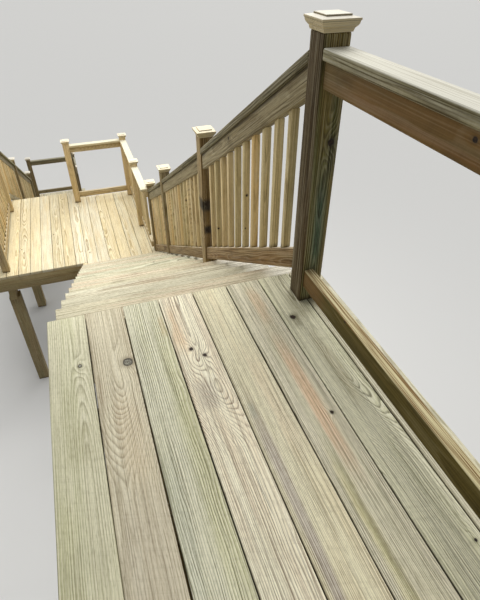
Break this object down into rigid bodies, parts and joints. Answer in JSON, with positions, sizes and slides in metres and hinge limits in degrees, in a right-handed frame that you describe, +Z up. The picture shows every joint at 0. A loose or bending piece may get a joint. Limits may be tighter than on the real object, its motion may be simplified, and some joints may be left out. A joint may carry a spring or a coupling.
{
  "type": "wooden deck stairs",
  "caption": "Free-standing timber deck stairs: a narrow upper deck, a straight open-riser flight, an L-shaped landing and a lower flight to a foot landing, with posts, rails and balusters.",
  "frame": {"origin": "bottom centre of the bounding box, on the ground plane under the posts", "axes": "+Z up; +Y down the stairs, from the upper deck to the foot landing; +X away from the wall that the upper deck runs along"},
  "size_m": [2.2222, 13.0282, 5.28],
  "materials": {
    "deck_board": "new pressure-treated pine, planed, pale olive to pink tan",
    "tread": "new pressure-treated pine, planed, pale tan",
    "cap_rail": "pressure-treated pine, bleached near-white on top",
    "post_cap": "pressure-treated pine, pale",
    "guard_post": "pressure-treated pine, dark olive brown",
    "rail": "pressure-treated pine, brown with green tint",
    "baluster": "pressure-treated pine, golden tan",
    "framing": "pressure-treated pine, rough sawn",
    "support_post": "pressure-treated pine, rough sawn"
  },
  "bodies": {
    "root": {"upper_deck_boards": "deck_board", "upper_joists": "framing", "upper_side_rims": "framing", "upper_end_rims": "framing", "upper_beams": "framing", "upper_support_posts": "support_post", "upper_guard_posts": "guard_post", "upper_post_caps": "post_cap", "upper_cap_rails": "cap_rail", "upper_sub_rails": "rail", "upper_bottom_rails": "rail", "flight1_stringers": "framing", "flight1_treads": "tread", "flight1_guard_posts": "guard_post", "flight1_post_caps": "post_cap", "flight1_cap_rails": "cap_rail", "flight1_sub_rails": "rail", "flight1_bottom_rails": "rail", "flight1_balusters": "baluster", "landing_boards": "deck_board", "landing_joists": "framing", "landing_side_rims": "framing", "landing_end_rims": "framing", "landing_beams": "framing", "landing_support_posts": "support_post", "landing_guard_posts": "guard_post", "landing_post_caps": "post_cap", "landing_cap_rails": "cap_rail", "landing_sub_rails": "rail", "landing_bottom_rails": "rail", "landing_balusters": "baluster", "flight2_stringers": "framing", "flight2_treads": "tread", "flight2_guard_posts": "guard_post", "flight2_post_caps": "post_cap", "flight2_cap_rails": "cap_rail", "flight2_sub_rails": "rail", "flight2_bottom_rails": "rail", "flight2_balusters": "baluster", "foot_landing_boards": "deck_board", "foot_landing_joists": "framing", "foot_landing_side_rims": "framing", "foot_landing_end_rims": "framing"}
  },
  "joints": []
}
